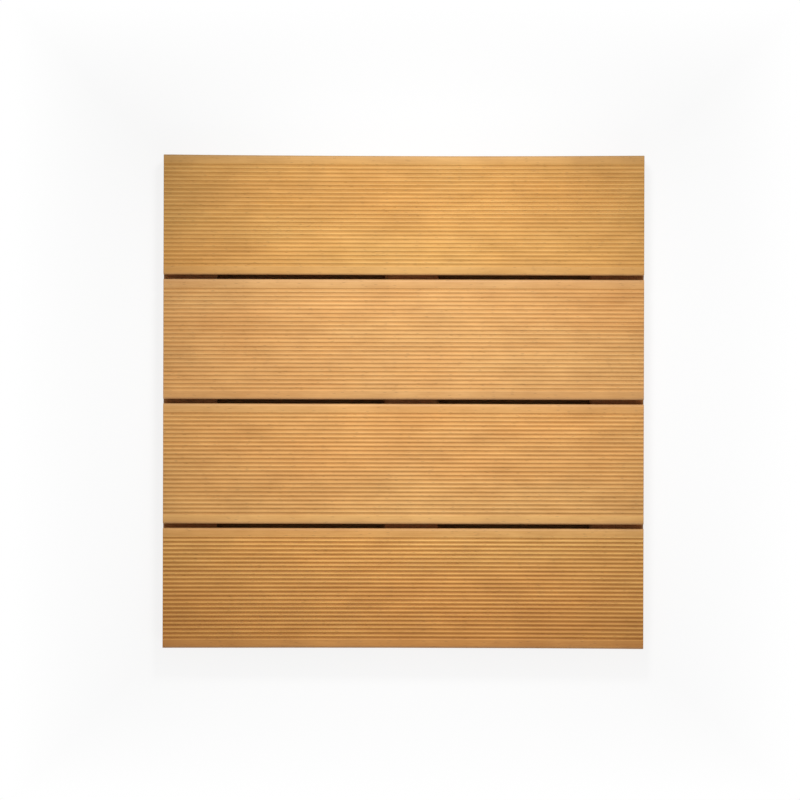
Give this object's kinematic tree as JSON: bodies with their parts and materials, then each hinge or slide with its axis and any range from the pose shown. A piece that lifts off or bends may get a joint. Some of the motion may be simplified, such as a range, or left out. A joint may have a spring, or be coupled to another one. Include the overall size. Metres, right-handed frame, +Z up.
{
  "type": "hardwood decking tile",
  "caption": "Square hardwood decking tile of reeded boards side by side with drainage gaps, screwed from below to cross battens.",
  "frame": {"origin": "on the ground under the centre of the tile", "axes": "+X along the boards, +Y across the boards along the battens, +Z up out of the walking face"},
  "size_m": [0.48, 0.493, 0.038],
  "materials": {
    "board_wood": "oiled golden-brown hardwood, reeded face",
    "batten_wood": "sawn and planed hardwood",
    "screw_steel": "plain stainless steel"
  },
  "bodies": {
    "root": {"board_1": "board_wood", "board_2": "board_wood", "board_3": "board_wood", "board_4": "board_wood", "batten_left": "batten_wood", "batten_middle": "batten_wood", "batten_right": "batten_wood", "screws_left": "screw_steel", "screws_middle": "screw_steel", "screws_right": "screw_steel"}
  },
  "joints": []
}
